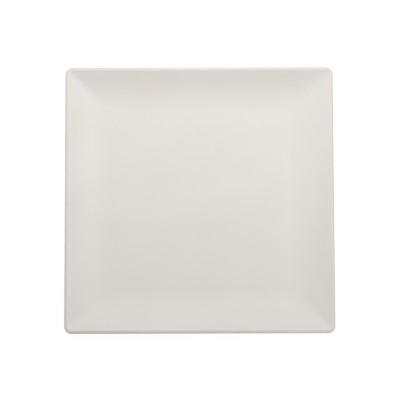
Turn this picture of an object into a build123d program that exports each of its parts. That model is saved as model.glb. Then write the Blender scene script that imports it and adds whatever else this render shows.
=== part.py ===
from build123d import *

import math
import os
from collections import namedtuple

# Square dinner plate in glazed stoneware. Millimetres, +Z up.
# The origin is the middle of the plate, on the plane of the table.

# Overall sizes of the glazed plate
plate_side = 267.0
plate_height = 19.5
corner_radius = 7.0

# Glaze, and the bare clay that is wiped clean at the foot
glaze_thickness = 0.4
bare_foot_height = 1.0

# Rim: its top falls outwards from a crest. The clay's edge is cut lower, and the glaze rounds it.
rim_width = 2.4
rim_fall = 0.8
rim_edge_cut = 0.5
rim_outer_radius = 2.0
rim_lower_radius = 1.8

# Wall, from the rim in to the line where it would meet the floor
wall_run = 27.1
wall_thickness = 4.4
cove_radius = 68.0
shoulder_radius = 40.0

# Well: a flat pad, with a shallow gutter round it at the foot of the wall
base_thickness = 4.0
gutter_run = 26.0
gutter_drop = 0.9
pad_edge_radius = 300.0
well_corner_radius = 6.0
pad_corner_radius = 8.0

# Foot ring under the edge of the well
foot_inset = 48.0
foot_height = 2.6
foot_width = 3.4
foot_flare = 1.7
foot_corner_radius = 14.0
foot_sole_radius = 0.7
glaze_pool_radius = 1.2
recess_depth = 2.2

# Largest share of a straight run that the roundings at its two ends may take up
rounding_share = 0.98

# Heights closer than this are one level
same_level = 1e-6

# Half of the clay's side, without the glaze
clay_half = plate_side / 2 - glaze_thickness

# One bend of the section: its distance from the plate's middle, its height above the table,
# the corner radius of the square that it runs round, seen from above, and its rounding.
Bend = namedtuple("Bend", "half height corner radius")


def sharp(bend):
    """The same bend with no rounding."""
    return bend._replace(radius=0)


def length(start, end):
    """Length of the straight run between two bends, in the section."""
    return math.hypot(end.half - start.half, end.height - start.height)


def direction(start, end):
    """Unit direction of the straight run between two bends, in the section."""
    distance = length(start, end)
    return (end.half - start.half) / distance, (end.height - start.height) / distance


def turn(before, bend, after):
    """Angle that the section turns through at a bend, positive to the left."""
    run_in, rise_in = direction(before, bend)
    run_out, rise_out = direction(bend, after)
    return math.atan2(run_in * rise_out - rise_in * run_out, run_in * run_out + rise_in * rise_out)


def towards(bend, other, distance):
    """Point of the straight run from a bend to its neighbour, at a distance from the bend."""
    share = distance / length(bend, other)
    half = bend.half + share * (other.half - bend.half)
    height = bend.height + share * (other.height - bend.height)
    corner = bend.corner + share * (other.corner - bend.corner)
    return Bend(half, height, corner, 0)


def foot_outside(height, radius):
    """Bend on the outer side of the foot ring, which flares towards the plate."""
    flare = foot_flare * height / foot_height
    return Bend(clay_half - foot_inset + flare, height, foot_corner_radius + flare, radius)


def foot_inside(height, radius):
    """Bend on the inner side of the foot ring, which flares the other way."""
    inwards = foot_width + foot_flare * height / foot_height
    return Bend(clay_half - foot_inset - inwards, height, foot_corner_radius - inwards, radius)


def coated_bend(before, bend, after):
    """A bend moved out to the surface of the glaze, square to both its runs."""
    run_in, rise_in = direction(before, bend)
    run_out, rise_out = direction(bend, after)
    mitre = glaze_thickness / (1 + run_in * run_out + rise_in * rise_out)
    shift = -mitre * (rise_in + rise_out)
    lift = mitre * (run_in + run_out)
    return Bend(bend.half + shift, bend.height + lift, bend.corner + shift, bend.radius)


def coated_end(start, end, bend):
    """An end of the section moved out: upright in the middle of the plate, level at the wiped line."""
    run, rise = direction(start, end)
    if bend.half == 0:
        return bend._replace(height=bend.height + glaze_thickness * run)
    shift = -glaze_thickness / rise
    return bend._replace(half=bend.half + shift, corner=bend.corner + shift)


def coated(bends):
    """The same section at the surface of the glaze, one glaze thickness further out."""
    first = coated_end(bends[0], bends[1], bends[0])
    middle = [coated_bend(*bends[i - 1 : i + 2]) for i in range(1, len(bends) - 1)]
    last = coated_end(bends[-2], bends[-1], bends[-1])
    return [first] + middle + [last]


def upper_sections():
    """Clay and glaze from the middle of the well, out over the rim and back under to the foot."""
    rim_top = plate_height - glaze_thickness
    rim_corner = corner_radius - glaze_thickness
    floor = foot_height + base_thickness

    middle = Bend(0, floor, 0, 0)
    rim_crest = Bend(clay_half - rim_width, rim_top, rim_corner - rim_width, glaze_thickness)
    rim_edge = Bend(clay_half, rim_top - rim_fall, rim_corner, rim_outer_radius)
    knee = Bend(clay_half - wall_run, floor - gutter_drop, well_corner_radius, cove_radius)
    pad_edge = Bend(knee.half - gutter_run, floor, pad_corner_radius, pad_edge_radius)

    # The outside of the wall lies parallel to the inside, one wall thickness away.
    run, rise = direction(knee, rim_crest)
    outside_half = knee.half + wall_thickness * rise
    outside_height = knee.height - wall_thickness * run
    rim_low_height = outside_height + (clay_half - outside_half) * rise / run
    rim_low = Bend(clay_half, rim_low_height, rim_corner, rim_lower_radius)
    shoulder_half = outside_half + (foot_height - outside_height) * run / rise
    shoulder = Bend(shoulder_half, foot_height, well_corner_radius, shoulder_radius)

    foot_root = foot_outside(foot_height, glaze_pool_radius)
    wiped_line = foot_outside(bare_foot_height, 0)
    clay = [
        middle,
        sharp(pad_edge),
        knee._replace(radius=cove_radius + glaze_thickness),
        sharp(rim_crest),
        sharp(rim_edge)._replace(height=rim_edge.height - rim_edge_cut),
        sharp(rim_low),
        shoulder._replace(radius=shoulder_radius - glaze_thickness),
        sharp(foot_root),
        wiped_line,
    ]
    glaze = coated([middle, pad_edge, knee, rim_crest, rim_edge, rim_low, shoulder, foot_root, wiped_line])
    return clay, glaze


def foot_sections():
    """Bare clay of the foot ring, then clay and glaze of the recess inside it."""
    wiped_line = foot_inside(bare_foot_height, 0)
    recess_root = foot_inside(recess_depth, glaze_pool_radius)
    middle = Bend(0, recess_depth, 0, 0)
    bare = [
        foot_outside(bare_foot_height, 0),
        foot_outside(0, foot_sole_radius),
        foot_inside(0, foot_sole_radius),
        wiped_line,
    ]
    clay = [wiped_line, sharp(recess_root), middle]
    glaze = coated([wiped_line, recess_root, middle])
    return bare, clay, glaze


def rounding_reaches(bends, turns):
    """Distance from each bend to where its rounding starts, limited by the runs beside it."""
    reaches = [bend.radius * math.tan(abs(angle) / 2) for bend, angle in zip(bends, turns)]
    for i in range(len(bends) - 1):
        wanted = reaches[i] + reaches[i + 1]
        allowed = rounding_share * length(bends[i], bends[i + 1])
        if wanted > allowed:
            reaches[i] *= allowed / wanted
            reaches[i + 1] *= allowed / wanted
    return reaches


def runs_and_arcs(bends):
    """Control points and weights of each straight run and each rounded bend of a section."""
    middle = [turn(*bends[i - 1 : i + 2]) for i in range(1, len(bends) - 1)]
    turns = [0.0] + middle + [0.0]
    reaches = rounding_reaches(bends, turns)
    pieces = []
    for i in range(len(bends) - 1):
        run_start = towards(bends[i], bends[i + 1], reaches[i])
        run_end = towards(bends[i + 1], bends[i], reaches[i + 1])
        pieces.append(([run_start, run_end], [1.0, 1.0]))
        if reaches[i + 1] > 0:
            arc_end = towards(bends[i + 1], bends[i + 2], reaches[i + 1])
            pieces.append(([run_end, bends[i + 1], arc_end], [1.0, math.cos(turns[i + 1] / 2), 1.0]))
    return pieces


def rounded_square(point):
    """Flat rounded square through one point of the section."""
    return Pos(0, 0, point.height) * RectangleRounded(2 * point.half, 2 * point.half, point.corner)


def level_ring(start, end):
    """Flat face between two points of the section that lie at one height."""
    inner, outer = sorted((start, end))
    sheet = rounded_square(outer)
    if inner.half > 0:
        sheet = sheet - rounded_square(inner)
    return sheet.faces()


def side_row(point):
    """Control points of the straight side of the square through one point of the section."""
    straight = point.half - point.corner
    return [(point.half, -straight, point.height), (point.half, straight, point.height)]


def corner_row(point, start_angle, arc_angle):
    """Control points of an arc of that square's rounded corner, where its two tangents meet."""
    straight = point.half - point.corner
    row = []
    for steps, reach in ((0, 1), (1, 1 / math.cos(arc_angle / 2)), (2, 1)):
        angle = start_angle + steps * arc_angle / 2
        x = straight + point.corner * reach * math.cos(angle)
        y = straight + point.corner * reach * math.sin(angle)
        row.append((x, y, point.height))
    return row


def curved_ring(points, weights):
    """One run or arc of the section, carried along the four sides and round the four corners."""
    side_weights = [[weight, weight] for weight in weights]
    patches = [Face.make_bezier_surface([side_row(point) for point in points], side_weights)]
    half_corner = math.pi / 4
    corner_weights = [[weight, weight * math.cos(half_corner / 2), weight] for weight in weights]
    for start_angle in (0, half_corner):
        corner = [corner_row(point, start_angle, half_corner) for point in points]
        patches.append(Face.make_bezier_surface(corner, corner_weights))
    return [Rot(0, 0, 90 * quarter) * patch for quarter in range(4) for patch in patches]


def skin(bends):
    """All the faces of a section carried round the plate."""
    faces = []
    for points, weights in runs_and_arcs(bends):
        if abs(points[0].height - points[-1].height) < same_level:
            faces += level_ring(points[0], points[-1])
        else:
            faces += curved_ring(points, weights)
    return faces


def closed_solid(faces):
    """Solid inside a closed set of faces."""
    return Solid(Shell(faces))


def glaze_layer(clay, glaze, line_end):
    """Layer of glaze on one stretch of the clay, which ends in a level lip at the wiped line."""
    lip = level_ring(clay[line_end], glaze[line_end])
    return closed_solid(skin(clay) + skin(glaze) + lip)


upper_clay, upper_glaze = upper_sections()
bare_foot, recess_clay, recess_glaze = foot_sections()
parts = {
    "stoneware_body": closed_solid(skin(upper_clay) + skin(bare_foot) + skin(recess_clay)),
    "glaze_coat": glaze_layer(upper_clay, upper_glaze, -1),
    "recess_glaze": glaze_layer(recess_clay, recess_glaze, 0),
}

os.makedirs("parts", exist_ok=True)
for name, solid in parts.items():
    solid.label = name
    export_step(solid, f"parts/{name}.step")
    size = solid.bounding_box().size
    print(f"{name}: {solid.volume / 1000:.1f} cm3, {size.X:.2f} x {size.Y:.2f} x {size.Z:.2f} mm")
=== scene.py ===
# %% [markdown]
# A square dinner plate in matte-glazed stoneware.
#
# The plate is drawn to size in a CAD program first, and this lesson gives it its looks. The CAD
# solids are the fixed frame: they say where everything is, and nothing here moves or resizes them.
# Their meshes are coarse triangles, made for weighing and measuring, so each solid gets a smooth
# piece of its own here, with the same section, and is then hidden behind it.

import math
from collections import namedtuple

import bmesh
import bpy
from mathutils import Matrix, Quaternion, Vector


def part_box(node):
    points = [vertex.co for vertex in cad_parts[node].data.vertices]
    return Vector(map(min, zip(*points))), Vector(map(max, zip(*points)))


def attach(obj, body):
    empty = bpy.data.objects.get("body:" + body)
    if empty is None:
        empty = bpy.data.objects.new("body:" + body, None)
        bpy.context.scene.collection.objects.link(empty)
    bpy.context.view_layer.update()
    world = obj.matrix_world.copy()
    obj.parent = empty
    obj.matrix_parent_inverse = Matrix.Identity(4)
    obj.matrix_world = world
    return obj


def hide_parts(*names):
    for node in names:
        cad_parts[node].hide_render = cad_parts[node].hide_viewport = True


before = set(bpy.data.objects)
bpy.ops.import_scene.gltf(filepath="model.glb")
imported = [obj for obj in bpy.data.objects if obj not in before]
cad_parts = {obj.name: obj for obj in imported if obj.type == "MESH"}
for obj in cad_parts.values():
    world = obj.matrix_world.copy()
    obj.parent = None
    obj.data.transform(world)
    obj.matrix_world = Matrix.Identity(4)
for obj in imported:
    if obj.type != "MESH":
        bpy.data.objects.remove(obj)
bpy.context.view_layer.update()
mm = 0.001
print("CAD nodes:", sorted(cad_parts))

# %% [markdown]
# The sizes of the plate. What can be measured on the CAD solids is read from them. The rest are the
# sizes of the section: how wide the rim is, how far the wall runs in, how round each bend of the
# finished surface is. Blender counts in metres, so each size is a number of millimetres times mm.

# %% Sizes
coat_low, coat_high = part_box("glaze_coat")
clay_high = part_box("stoneware_body")[1]
plate_height = coat_high.z
clay_half = clay_high.x
rim_top = clay_high.z
glaze_thickness = coat_high.x - clay_half
bare_foot_height = coat_low.z

corner_radius = 7.0 * mm
rim_width = 2.4 * mm
rim_fall = 0.8 * mm
rim_outer_radius = 2.0 * mm
rim_lower_radius = 1.8 * mm

wall_run = 27.1 * mm
wall_thickness = 4.4 * mm
cove_radius = 68.0 * mm
shoulder_radius = 40.0 * mm

base_thickness = 4.0 * mm
gutter_run = 26.0 * mm
gutter_drop = 0.9 * mm
pad_edge_radius = 300.0 * mm
well_corner_radius = 6.0 * mm
pad_corner_radius = 8.0 * mm

foot_inset = 48.0 * mm
foot_height = 2.6 * mm
foot_width = 3.4 * mm
foot_flare = 1.7 * mm
foot_corner_radius = 14.0 * mm
foot_sole_radius = 0.7 * mm
glaze_pool_radius = 1.2 * mm
glaze_bead_radius = 0.3 * mm
recess_depth = 2.2 * mm
print("The plate is", round(2 * coat_high.x / mm, 2), "mm wide")
print("The glaze is", round(glaze_thickness / mm, 3), "mm thick")

# %% [markdown]
# The section. Cut the plate in half and the cut face is a thin line of clay with a thinner line of
# glaze on it. A mould maker draws that line as straight runs with a rounding at every bend, and so
# does this lesson. Each bend has four numbers: how far it is from the middle, how high it is, how
# round the corner of the square is at that distance, and the radius of the rounding.
#
# One line runs over the top, round the rim and back under the wall to the foot. A second goes round
# the bare foot, and a third crosses the recess inside it. All three are lines of the clay. The glaze
# comes on top, so a rounding over an edge is smaller in the clay, and one in a hollow is larger.

# %% Bends of the clay
Bend = namedtuple("Bend", "place radius")


def bend(half, height, corner, radius=0.0):
    """One bend of the section. Its place holds the half side, the corner radius and the height."""
    return Bend(Vector((half, corner, height)), radius)


def foot_outside(height, radius=0.0):
    """A bend on the outer side of the foot ring, which flares out towards the plate."""
    flare = foot_flare * height / foot_height
    return bend(clay_half - foot_inset + flare, height, foot_corner_radius + flare, radius)


def foot_inside(height, radius=0.0):
    """A bend on the inner side of the foot ring, which flares the other way."""
    inwards = foot_width + foot_flare * height / foot_height
    return bend(clay_half - foot_inset - inwards, height, foot_corner_radius - inwards, radius)


rim_corner = corner_radius - glaze_thickness
rim_crest = bend(clay_half - rim_width, rim_top, rim_corner - rim_width)
rim_edge = bend(clay_half, rim_top - rim_fall, rim_corner, rim_outer_radius - glaze_thickness)

floor_height = foot_height + base_thickness
knee_half = clay_half - wall_run
knee = bend(knee_half, floor_height - gutter_drop, well_corner_radius, cove_radius + glaze_thickness)
pad_half = knee_half - gutter_run
pad_edge = bend(pad_half, floor_height, pad_corner_radius, pad_edge_radius - glaze_thickness)

wall = (rim_crest.place - knee.place).xz.normalized()
outside = knee.place.xz + wall_thickness * Vector((wall.y, -wall.x))
rim_low_height = outside.y + (clay_half - outside.x) * wall.y / wall.x
rim_low = bend(clay_half, rim_low_height, rim_corner, rim_lower_radius - glaze_thickness)
shoulder_half = outside.x + (foot_height - outside.y) * wall.x / wall.y
shoulder = bend(shoulder_half, foot_height, well_corner_radius, shoulder_radius - glaze_thickness)

root_radius = glaze_pool_radius + glaze_thickness
top_line = [
    bend(0, floor_height, 0), pad_edge, knee, rim_crest, rim_edge, rim_low, shoulder,
    foot_outside(foot_height, root_radius), foot_outside(bare_foot_height),
]
foot_line = [
    foot_outside(bare_foot_height), foot_outside(0, foot_sole_radius),
    foot_inside(0, foot_sole_radius), foot_inside(bare_foot_height),
]
recess_line = [
    foot_inside(bare_foot_height), foot_inside(recess_depth, root_radius), bend(0, recess_depth, 0),
]
wall_slope = math.degrees(math.atan2(wall.y, wall.x))
print("The wall rises at", round(wall_slope, 1), "degrees over", round(wall_run / mm, 1), "mm")

# %% [markdown]
# The glaze. A dipped glaze covers the clay in a coat of nearly even depth. So its line is the line of
# the clay moved outwards, square to both runs at each bend. A rounding over an edge grows by the
# depth of the coat, and a rounding in a hollow shrinks by it. At the foot the glaze is wiped off
# before firing, and what stays draws itself up into a small round bead at the wiped line.


# %% Coat a line of clay
def turn_at(before, here, after):
    """Directions into and out of a bend, and the angle between them, positive in a hollow."""
    into = (here.place - before.place).xz.normalized()
    out = (after.place - here.place).xz.normalized()
    return into, out, math.atan2(into.x * out.y - into.y * out.x, into.dot(out))


def coat(line):
    """The bends between a line's two ends, moved out to the surface of the glaze."""
    coated = []
    for before, here, after in zip(line, line[1:], line[2:]):
        into, out, turn = turn_at(before, here, after)
        mitre = glaze_thickness / (1 + into.dot(out))
        shift = -mitre * (into.y + out.y)
        lift = mitre * (into.x + out.x)
        place = here.place + Vector((shift, shift, lift))
        coated.append(Bend(place, here.radius - math.copysign(glaze_thickness, turn)))
    return coated


def beaded(wiped_line, outwards):
    """The bead at the wiped line: one rounded bend beside the end of the clay's line."""
    shift = outwards * glaze_thickness
    return Bend(wiped_line.place + Vector((shift, shift, 0)), glaze_bead_radius)


glaze_lift = Vector((0, 0, glaze_thickness))
well_middle = Bend(top_line[0].place + glaze_lift, 0.0)
recess_middle = Bend(recess_line[-1].place - glaze_lift, 0.0)
top_glaze = [well_middle, *coat(top_line), beaded(top_line[-1], 1), top_line[-1]]
recess_glaze = [recess_line[0], beaded(recess_line[0], -1), *coat(recess_line), recess_middle]
print("Bends in the glaze:", len(top_glaze), "over the top and", len(recess_glaze), "in the recess")

# %% [markdown]
# From bends to rings. A bend becomes an arc: the arc starts and ends where it touches the two straight
# runs, and between them it is a blend of three points, the start, the bend itself and the end. The
# blend carries the corner radius along with the rest, so the corners of the square change as smoothly
# as the section does. The number of steps follows from one number, how far a straight step may
# stray from the arc, so a large cove gets many steps and a small edge few.
#
# Smooth shading averages the faces at each ring. Beside an arc it would tilt the straight run too, so
# one more ring is set close to each end of the arc, and holds the run straight.

# %% Ring sizes along a line
arc_error = 0.004 * mm
holding_distance = 0.1 * mm


def towards(here, other, distance):
    """A point on the run from one bend to the next, at a distance from the first."""
    run = other.place - here.place
    return here.place + run * (distance / run.xz.length)


def arc_steps(radius, turn):
    """How many straight steps an arc needs."""
    step = 2 * math.acos(1 - arc_error / radius)
    return math.ceil(turn / step)


def ring_sizes(line):
    """Half side, corner radius and height of each ring along a line of bends."""
    sizes = [line[0].place]
    for before, here, after in zip(line, line[1:], line[2:]):
        if not here.radius:
            sizes.append(here.place)
            continue
        turn = abs(turn_at(before, here, after)[2])
        reach = here.radius * math.tan(turn / 2)
        start = towards(here, before, reach)
        end = towards(here, after, reach)
        sizes.append(towards(here, before, reach + holding_distance))
        steps = arc_steps(here.radius, turn)
        for step in range(steps + 1):
            angle = turn * step / steps
            from_start = (1 - math.cos(turn - angle)) / (1 - math.cos(turn))
            from_end = (1 - math.cos(angle)) / (1 - math.cos(turn))
            sizes.append(start * from_start + here.place * (1 - from_start - from_end) + end * from_end)
        sizes.append(towards(here, after, reach + holding_distance))
    sizes.append(line[-1].place)
    return [size for size in sizes if size.x > 0]


top_clay_rings = ring_sizes(top_line)
top_glaze_rings = ring_sizes(top_glaze)
foot_rings = ring_sizes(foot_line)
recess_clay_rings = ring_sizes(recess_line)
recess_glaze_rings = ring_sizes(recess_glaze)
print("Rings in the clay:", len(top_clay_rings), "over the top and", len(foot_rings), "round the foot")

# %% [markdown]
# From rings to a mesh. A lathe would turn a round plate from its section in one spin, but a square
# one has sides. So each ring is a flat square whose four corners a bevel rounds, with its face taken
# out, and a bridge joins it to the ring before. Rings that lie close together at one height confuse
# the bridge, so the rings are first stacked one above the other, like a tower, and pressed down to
# their true heights at the end. Only two rings are open at any time, so the bridge finds them by
# itself. The first ring and the last are filled: they are the flat of the well and of the recess.
#
# Pressing the tower down turns its faces, so their normals are updated before they are all made to
# look outwards.

# %% Build a closed skin from its rings
corner_steps = 24
side_cuts = 11
tower_step = 50 * mm


def add_ring(mesh, size, level):
    """One rounded square of edges, with no face inside, at its level of the tower."""
    place = Matrix.Translation((0, 0, level * tower_step))
    square = bmesh.ops.create_grid(mesh, x_segments=1, y_segments=1, size=size.x, matrix=place)
    rounded = bmesh.ops.bevel(
        mesh, geom=square["verts"], offset=size.y, segments=corner_steps,
        profile=0.5, affect="VERTICES", material=-1,
    )
    face = rounded["verts"][0].link_faces[0]
    sides = [edge for edge in face.edges if edge.calc_length() > size.y]
    bmesh.ops.delete(mesh, geom=[face], context="FACES_ONLY")
    bmesh.ops.subdivide_edges(mesh, edges=sides, cuts=side_cuts)


def open_edges(mesh):
    """The edges that don't join two faces yet."""
    return [edge for edge in mesh.edges if not edge.is_manifold]


def closed_skin(sizes):
    """A closed mesh through all the rings, filled at both ends."""
    mesh = bmesh.new()
    for level, size in enumerate(sizes):
        add_ring(mesh, size, level)
        if level == 0:
            bmesh.ops.edgeloop_fill(mesh, edges=open_edges(mesh))
        else:
            bmesh.ops.bridge_loops(mesh, edges=open_edges(mesh))
    bmesh.ops.edgeloop_fill(mesh, edges=open_edges(mesh))
    for vert in mesh.verts:
        vert.co.z = sizes[round(vert.co.z / tower_step)].z
    mesh.normal_update()
    bmesh.ops.recalc_face_normals(mesh, faces=mesh.faces)
    return mesh


print("Each ring has", 4 * (corner_steps + 1 + side_cuts), "points")

# %% [markdown]
# The finishes are made of nodes, and each is written from the inside out: colour, then gloss, then
# the fine relief. A few helpers keep the node code short. One adds a node and fills in its sockets,
# and takes a socket of another node as a link. Two more mix colours or shaders by a factor. They go by
# the numbers of the sockets, because two sockets of a mix can have the same name.

# %% Node helpers
colour_mix_inputs = (0, 6, 7)
colour_mix_output = 2


def set_socket(owner, socket, value):
    """Sets a socket to a value, or links it to another node's output."""
    if isinstance(value, bpy.types.NodeSocket):
        owner.node_tree.links.new(value, socket)
    else:
        socket.default_value = value


def add_node(owner, kind, **sockets):
    """A node in the tree of a material or world, with its sockets set by name."""
    node = owner.node_tree.nodes.new(kind)
    for name, value in sockets.items():
        set_socket(owner, node.inputs[name.replace("_", " ")], value)
    return node


def mix_colours(owner, factor, first, second):
    """The output of a colour mix: the first colour where the factor is 0, the second where it is 1."""
    mix = add_node(owner, "ShaderNodeMix")
    mix.data_type = "RGBA"
    for number, value in zip(colour_mix_inputs, (factor, first, second)):
        set_socket(owner, mix.inputs[number], value)
    return mix.outputs[colour_mix_output]


def mix_shaders(owner, factor, first, second):
    """The output of a shader mix: the first shader where the factor is 0, the second where it is 1."""
    mix = add_node(owner, "ShaderNodeMixShader", Fac=factor)
    set_socket(owner, mix.inputs[1], first)
    set_socket(owner, mix.inputs[2], second)
    return mix.outputs[0]


def new_material(name):
    """A material with no nodes yet."""
    material = bpy.data.materials.new(name)
    material.use_nodes = True
    material.node_tree.nodes.clear()
    return material


def object_place(material):
    """The place on the object itself, which the patterns follow."""
    return add_node(material, "ShaderNodeTexCoord").outputs["Object"]


# %% [markdown]
# The glaze is a warm off-white, satin and not glossy. Fired glaze is never one flat colour: it has
# soft clouds a few centimetres wide where the coat lay thicker, it thins over the edge of the rim so
# that a little of the clay's warmth shows, and its skin has a fine ripple like the skin of an orange.
# All three are kept faint, because at arm's length this plate looks even.

# %% Satin glaze
glaze_light = (0.752, 0.719, 0.686, 1)
glaze_deep = (0.741, 0.707, 0.665, 1)
glaze_thin = (0.82, 0.722, 0.63, 1)
cloud_scale = 22
cloud_start = 0.35
cloud_full = 0.65
smooth_start = 0.3
rough_full = 0.7
smooth_skin = 0.44
rough_skin = 0.52
ripple_scale = 420
ripple_depth = 0.006 * mm
thin_band = 1.4 * mm
thin_share = 0.28


def satin_glaze():
    """Clouds of two near colours, a thinner band along the rim, and a fine ripple."""
    material = new_material("satin_glaze")
    place = object_place(material)
    clouds = add_node(
        material, "ShaderNodeTexNoise", Vector=place, Scale=cloud_scale, Detail=3.0, Roughness=0.45)
    cloud_share = add_node(
        material, "ShaderNodeMapRange", Value=clouds.outputs["Fac"],
        From_Min=cloud_start, From_Max=cloud_full)
    clouded = mix_colours(material, cloud_share.outputs[0], glaze_light, glaze_deep)
    height = add_node(material, "ShaderNodeSeparateXYZ", Vector=place).outputs["Z"]
    at_rim = add_node(
        material, "ShaderNodeMapRange", Value=height,
        From_Min=plate_height - thin_band, From_Max=plate_height, To_Max=thin_share)
    colour = mix_colours(material, at_rim.outputs[0], clouded, glaze_thin)
    gloss = add_node(
        material, "ShaderNodeMapRange", Value=clouds.outputs["Fac"],
        From_Min=smooth_start, From_Max=rough_full, To_Min=smooth_skin, To_Max=rough_skin)
    ripple = add_node(material, "ShaderNodeTexNoise", Vector=place, Scale=ripple_scale, Detail=2.0)
    relief = add_node(material, "ShaderNodeBump", Height=ripple.outputs["Fac"], Distance=ripple_depth)
    skin = add_node(
        material, "ShaderNodeBsdfPrincipled", Base_Color=colour, Roughness=gloss.outputs[0],
        Normal=relief.outputs[0], IOR=1.5)
    add_node(material, "ShaderNodeOutputMaterial", Surface=skin.outputs[0])
    return material


glaze_material = satin_glaze()
print("Made", glaze_material.name, "with", len(glaze_material.node_tree.nodes), "nodes")

# %% [markdown]
# The foot is bare clay: buff stoneware with a sandy grain and darker specks of grit, wiped smooth
# before firing. It has no gloss at all.

# %% Bare clay
clay_light = (0.62, 0.53, 0.42, 1)
clay_deep = (0.54, 0.45, 0.345, 1)
grit_colour = (0.33, 0.26, 0.19, 1)
clay_roughness = 0.85
grain_scale = 700
grain_depth = 0.06 * mm
grit_scale = 520
speck_core = 0.12
speck_edge = 0.2


def bare_clay():
    """A grain of two near colours, with specks of grit at the middle of scattered cells."""
    material = new_material("bare_clay")
    place = object_place(material)
    grain = add_node(
        material, "ShaderNodeTexNoise", Vector=place, Scale=grain_scale, Detail=5.0, Roughness=0.6)
    grained = mix_colours(material, grain.outputs["Fac"], clay_light, clay_deep)
    grit = add_node(material, "ShaderNodeTexVoronoi", Vector=place, Scale=grit_scale)
    speck = add_node(
        material, "ShaderNodeMapRange", Value=grit.outputs["Distance"],
        From_Min=speck_core, From_Max=speck_edge, To_Min=1.0, To_Max=0.0)
    colour = mix_colours(material, speck.outputs[0], grained, grit_colour)
    relief = add_node(material, "ShaderNodeBump", Height=grain.outputs["Fac"], Distance=grain_depth)
    clay = add_node(
        material, "ShaderNodeBsdfPrincipled", Base_Color=colour, Roughness=clay_roughness,
        Normal=relief.outputs[0], IOR=1.5)
    add_node(material, "ShaderNodeOutputMaterial", Surface=clay.outputs[0])
    return material


clay_material = bare_clay()
print("Made", clay_material.name, "with", len(clay_material.node_tree.nodes), "nodes")

# %% [markdown]
# The three pieces. The clay is one closed skin: over the top, round the foot and across the recess.
# Each glaze is a thin closed shell: out along its own line, and back along the line of the clay, so
# that the two fit without a gap. The volume that is printed is above zero only where the faces look
# outwards.


# %% Make the pieces
def make_piece(name, sizes, material, node):
    """One smooth piece that stands for a CAD node and rides on the plate's one body."""
    mesh = closed_skin(sizes)
    for face in mesh.faces:
        face.smooth = True
    volume = mesh.calc_volume(signed=True)
    data = bpy.data.meshes.new(name)
    mesh.to_mesh(data)
    mesh.free()
    data.materials.append(material)
    piece = bpy.data.objects.new(name, data)
    bpy.context.scene.collection.objects.link(piece)
    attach(piece, "root")
    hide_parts(node)
    volume_cm3 = round(volume / (10 * mm) ** 3, 1)
    print(name, "has", len(sizes), "rings,", len(data.polygons), "faces and", volume_cm3, "cm3")


make_piece(
    "clay_body", top_clay_rings + foot_rings[1:] + recess_clay_rings[1:],
    clay_material, "stoneware_body")
make_piece(
    "outer_glaze", top_glaze_rings + top_clay_rings[-2::-1],
    glaze_material, "glaze_coat")
make_piece(
    "foot_recess_glaze", recess_clay_rings[:0:-1] + recess_glaze_rings,
    glaze_material, "recess_glaze")

# %% [markdown]
# The floor and the world are white to the camera, as in a catalogue picture. A white surface under
# studio light isn't evenly white, so the floor glows a little less than white by itself and a small
# share of real light lifts it over the top. Where the plate keeps that light off, the floor stays
# below white: that is its faint shadow. To all other rays the floor is a plain pale surface.

# %% Floor and world
floor_half = 4.0
floor_glow = 0.94
floor_shade = 0.13
floor_bounce = 0.45
ambient_level = 0.19


def grey(level):
    """A colour with no tint."""
    return (level, level, level, 1)


def seen_directly(owner):
    """1 for camera, glossy and transmission rays, and 0 for the rays that carry soft light."""
    light_path = add_node(owner, "ShaderNodeLightPath")
    total = light_path.outputs["Is Camera Ray"]
    for name in ("Is Glossy Ray", "Is Transmission Ray"):
        larger = add_node(owner, "ShaderNodeMath")
        larger.operation = "MAXIMUM"
        set_socket(owner, larger.inputs[0], total)
        set_socket(owner, larger.inputs[1], light_path.outputs[name])
        total = larger.outputs[0]
    return total


def white_floor():
    """A glow plus a little shade to the eye, and a pale surface to the light."""
    material = new_material("white_floor")
    glow = add_node(material, "ShaderNodeEmission", Strength=floor_glow)
    shade = add_node(material, "ShaderNodeBsdfDiffuse", Color=grey(floor_shade))
    shown = add_node(material, "ShaderNodeAddShader")
    set_socket(material, shown.inputs[0], glow.outputs[0])
    set_socket(material, shown.inputs[1], shade.outputs[0])
    plain = add_node(material, "ShaderNodeBsdfDiffuse", Color=grey(floor_bounce))
    chosen = mix_shaders(material, seen_directly(material), plain.outputs[0], shown.outputs[0])
    add_node(material, "ShaderNodeOutputMaterial", Surface=chosen)
    return material


def studio_world():
    """White to the eye, and a soft even light to the plate."""
    world = bpy.data.worlds.new("studio")
    world.use_nodes = True
    world.node_tree.nodes.clear()
    ambient = add_node(world, "ShaderNodeBackground", Color=grey(1), Strength=ambient_level)
    backdrop = add_node(world, "ShaderNodeBackground", Color=grey(1), Strength=1.0)
    sky = mix_shaders(world, seen_directly(world), ambient.outputs[0], backdrop.outputs[0])
    add_node(world, "ShaderNodeOutputWorld", Surface=sky)
    return world


floor_mesh = bmesh.new()
bmesh.ops.create_grid(floor_mesh, x_segments=1, y_segments=1, size=floor_half)
floor_data = bpy.data.meshes.new("studio_floor")
floor_mesh.to_mesh(floor_data)
floor_mesh.free()
floor_data.materials.append(white_floor())
studio_floor = bpy.data.objects.new("studio_floor", floor_data)
bpy.context.scene.collection.objects.link(studio_floor)
bpy.context.scene.world = studio_world()
print("The floor is", 2 * floor_half, "m wide and the world lights at", ambient_level)

# %% [markdown]
# The lamps. A pale plate shows its form only by which wall faces which lamp: each wall leans back from
# the middle, so it is lit from the opposite side. The main softbox hangs high, to the right and beyond
# the plate. Four small ones stand close round the far side, so the well grows darker towards the
# camera, the far wall is the darkest, and the gutter shows as a dark line at the foot of the near wall.
# Two cards on the near side throw a little light back. Each lamp's level is the share of a plain, full
# light that it gives the middle of the plate. All the levels, with the world's, add up to about one.


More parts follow.
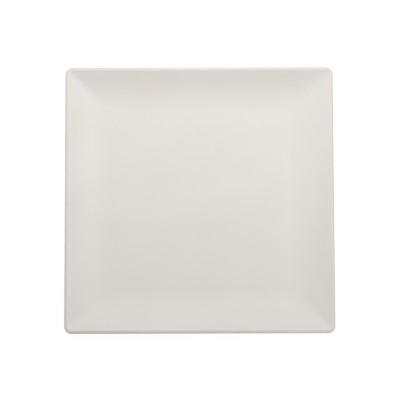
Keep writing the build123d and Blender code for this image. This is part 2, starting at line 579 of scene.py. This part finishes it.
# %% Softboxes
def softbox(name, distance, elevation, bearing, side, level):
    """A square lamp that faces the middle of the plate. Bearings run from the far side to the right."""
    rise = math.radians(elevation)
    turn = math.radians(bearing)
    flat = math.cos(rise)
    outwards = Vector((flat * math.sin(turn), flat * math.cos(turn), math.sin(rise)))
    data = bpy.data.lights.new(name, "AREA")
    data.shape = "SQUARE"
    data.size = side
    data.energy = level * (math.pi * distance) ** 2 / math.sin(rise)
    lamp = bpy.data.objects.new(name, data)
    lamp.location = distance * outwards
    lamp.rotation_mode = "QUATERNION"
    lamp.rotation_quaternion = (-outwards).to_track_quat("-Z", "Y")
    lamp.visible_camera = False
    bpy.context.scene.collection.objects.link(lamp)
    print(name, "stands", distance, "m away at a level of", level)


softbox("high_softbox", distance=2.0, elevation=65, bearing=60, side=1.0, level=0.24)
softbox("far_left_softbox", distance=0.5, elevation=50, bearing=-60, side=0.3, level=0.175)
softbox("far_right_softbox", distance=0.5, elevation=50, bearing=60, side=0.3, level=0.17)
softbox("far_upper_softbox", distance=0.5, elevation=65, bearing=0, side=0.3, level=0.075)
softbox("far_lower_softbox", distance=0.5, elevation=20, bearing=0, side=0.3, level=0.055)
softbox("near_left_card", distance=2.0, elevation=20, bearing=-120, side=1.0, level=0.045)
softbox("near_right_card", distance=0.5, elevation=20, bearing=150, side=0.3, level=0.045)

# %% [markdown]
# The camera looks down at the plate from a little more than two metres away, tilted a few degrees so
# that the near side of the plate is the wider one. A long lens at that distance keeps the four sides
# almost square. The aim is a millimetre off the plate's middle, and the roll a sixth of a degree, as
# happens with a camera on a stand.

# %% Camera
image_pixels = 400
focal_pixels = 2421
camera_distance = 2.4
tilt = math.radians(8.84)
roll = math.radians(-0.169)
aim = Vector((0.58 * mm, -1.01 * mm, plate_height))

camera_data = bpy.data.cameras.new("catalogue_camera")
camera_data.lens = camera_data.sensor_width * focal_pixels / image_pixels
camera = bpy.data.objects.new("catalogue_camera", camera_data)
bpy.context.scene.collection.objects.link(camera)
back = Vector((0, -math.sin(tilt), math.cos(tilt)))
camera.location = aim + camera_distance * back
camera.rotation_mode = "QUATERNION"
camera.rotation_quaternion = (-back).to_track_quat("-Z", "Y") @ Quaternion((0, 0, 1), roll)
bpy.context.scene.camera = camera
bpy.context.scene.view_settings.view_transform = "Standard"
print("The lens is", round(camera_data.lens, 1), "mm long")
